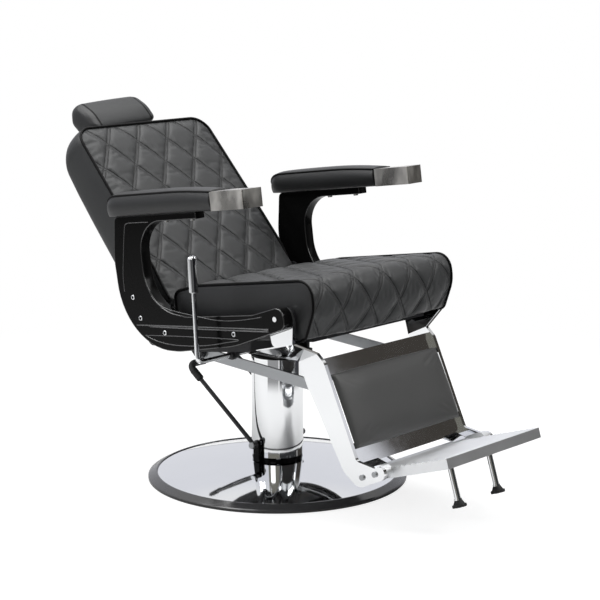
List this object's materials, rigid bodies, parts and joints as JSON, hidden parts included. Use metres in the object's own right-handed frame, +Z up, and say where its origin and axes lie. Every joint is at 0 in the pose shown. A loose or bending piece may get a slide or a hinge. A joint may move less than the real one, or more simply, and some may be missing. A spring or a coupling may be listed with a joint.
{
  "type": "hydraulic barber chair",
  "caption": "Reclining barber chair on a chromed pump column and dome base, with quilted cushions, C-shaped side frames, lever, linked legrest, footplate and pump pedal.",
  "frame": {"origin": "middle of the base's flat underside, on the floor and on the column's axis", "axes": "+Z up; the sitter faces -Y; +X is the sitter's left"},
  "size_m": [0.689, 1.305, 0.9143],
  "materials": {
    "chrome": "polished",
    "black_steel": "satin black paint",
    "black_gloss": "gloss black enamel",
    "grey_steel": "plain zinc-plated steel",
    "footplate_metal": "cast, polished on the ribs",
    "leather": "soft black upholstery leather, diamond-quilted",
    "leather_dark": "plain black upholstery leather",
    "rubber": "matte",
    "rim": "satin grey moulding with a black foot",
    "plywood": "bare birch plywood"
  },
  "bodies": {
    "base": {"base_plate": "black_steel", "base_dome": "chrome", "base_rim": "rim", "pump_cylinder": "black_steel", "pump_bolts": "grey_steel", "pedal_pins": "grey_steel"},
    "pedal": {"pedal_frame": "black_steel", "pedal_grip": "rubber"},
    "ram": {"piston": "chrome", "swivel_bearing": "grey_steel"},
    "seat": {"swivel_bracket": "black_steel", "bracket_bolts": "grey_steel", "column_sleeve": "chrome", "sleeve_collar": "black_gloss", "seat_frame": "black_steel", "seat_board": "plywood", "seat_cushion": "leather", "side_frame_right": "black_gloss", "side_frame_left": "black_gloss", "side_frame_screws": "chrome", "armrest_board_right": "plywood", "armrest_board_left": "plywood", "armrest_pad_right": "leather_dark", "armrest_pad_left": "leather_dark", "armrest_cap_right": "chrome", "armrest_cap_left": "chrome", "armrest_bolts": "chrome", "legrest_pivot_bolts": "chrome", "back_pivot_bolts": "grey_steel", "lock_front_pin": "grey_steel"},
    "back": {"back_frame": "black_steel", "back_board": "plywood", "back_cover": "leather_dark", "backrest_cushion": "leather", "headrest_socket": "black_steel", "back_link_pins": "grey_steel", "lock_rear_pin": "grey_steel"},
    "headrest": {"headrest_post": "chrome", "headrest_pad": "leather_dark"},
    "legrest": {"legrest_bar_right": "chrome", "legrest_bar_left": "chrome", "legrest_plate_upper": "chrome", "legrest_plate_lower": "chrome", "legrest_board": "plywood", "legrest_pad": "leather_dark", "leg_link_pins": "chrome", "footplate": "footplate_metal", "footplate_bolts": "grey_steel", "footplate_legs": "chrome", "footplate_feet": "rubber"},
    "link_right": {"link_bar_right": "grey_steel"},
    "link_left": {"link_bar_left": "grey_steel"},
    "lever": {"recline_lever": "chrome", "lever_grip": "chrome", "lever_cam": "black_gloss"},
    "lock_tube": {"lock_cylinder": "black_gloss"},
    "lock_ram": {"lock_rod": "chrome"}
  },
  "joints": [
    {"name": "pedal_press", "type": "hinge", "parent": "base", "child": "pedal", "pos_m": [0, 0, 0.095], "axis": [1, 0, 0], "range_deg": [-20, 0], "stiffness_Nm_per_rad": 1.2, "springref_deg": 25.78},
    {"name": "pump_lift", "type": "slide", "parent": "base", "child": "ram", "axis": [0, 0, 1], "range_m": [0, 0.15]},
    {"name": "seat_swivel", "type": "hinge", "parent": "ram", "child": "seat", "pos_m": [0, 0, 0.31], "axis": [0, 0, 1], "continuous": true},
    {"name": "back_recline", "type": "hinge", "parent": "seat", "child": "back", "pos_m": [0, 0.12657, 0.40241], "axis": [1, 0, 0], "range_deg": [0, 27]},
    {"name": "headrest_height", "type": "slide", "parent": "back", "child": "headrest", "axis": [0, 0.6561, 0.7547], "range_m": [-0.01, 0.06]},
    {"name": "legrest_swing", "type": "hinge", "parent": "seat", "child": "legrest", "pos_m": [0, -0.27695, 0.48437], "axis": [1, 0, 0], "range_deg": [-0.5, 13]},
    {"name": "link_swing_right", "type": "hinge", "parent": "legrest", "child": "link_right", "pos_m": [0, -0.30015, 0.31262], "axis": [1, 0, 0], "range_deg": [-16, 1]},
    {"name": "link_swing_left", "type": "hinge", "parent": "legrest", "child": "link_left", "pos_m": [0, -0.30015, 0.31262], "axis": [1, 0, 0], "range_deg": [-16, 1]},
    {"name": "lever_pull", "type": "hinge", "parent": "seat", "child": "lever", "pos_m": [0, -0.06835, 0.35912], "axis": [1, 0, 0], "range_deg": [-18, 0], "stiffness_Nm_per_rad": 1.5, "springref_deg": 20.05},
    {"name": "lock_swing", "type": "hinge", "parent": "seat", "child": "lock_tube", "pos_m": [0, -0.1662, 0.35267], "axis": [1, 0, 0], "range_deg": [-4.5, 0.5]},
    {"name": "lock_slide", "type": "slide", "parent": "lock_tube", "child": "lock_ram", "axis": [0, 0.9996, -0.0282], "range_m": [-0.001, 0.032]}
  ],
  "couplings": [
    {"joint": "legrest_swing", "follows": "back_recline", "ratio": 0.41},
    {"joint": "link_swing_right", "follows": "back_recline", "ratio": -0.511},
    {"joint": "link_swing_left", "follows": "back_recline", "ratio": -0.511},
    {"joint": "lock_swing", "follows": "back_recline", "ratio": -0.13},
    {"joint": "lock_slide", "follows": "back_recline", "m_per_rad": 0.0662}
  ]
}
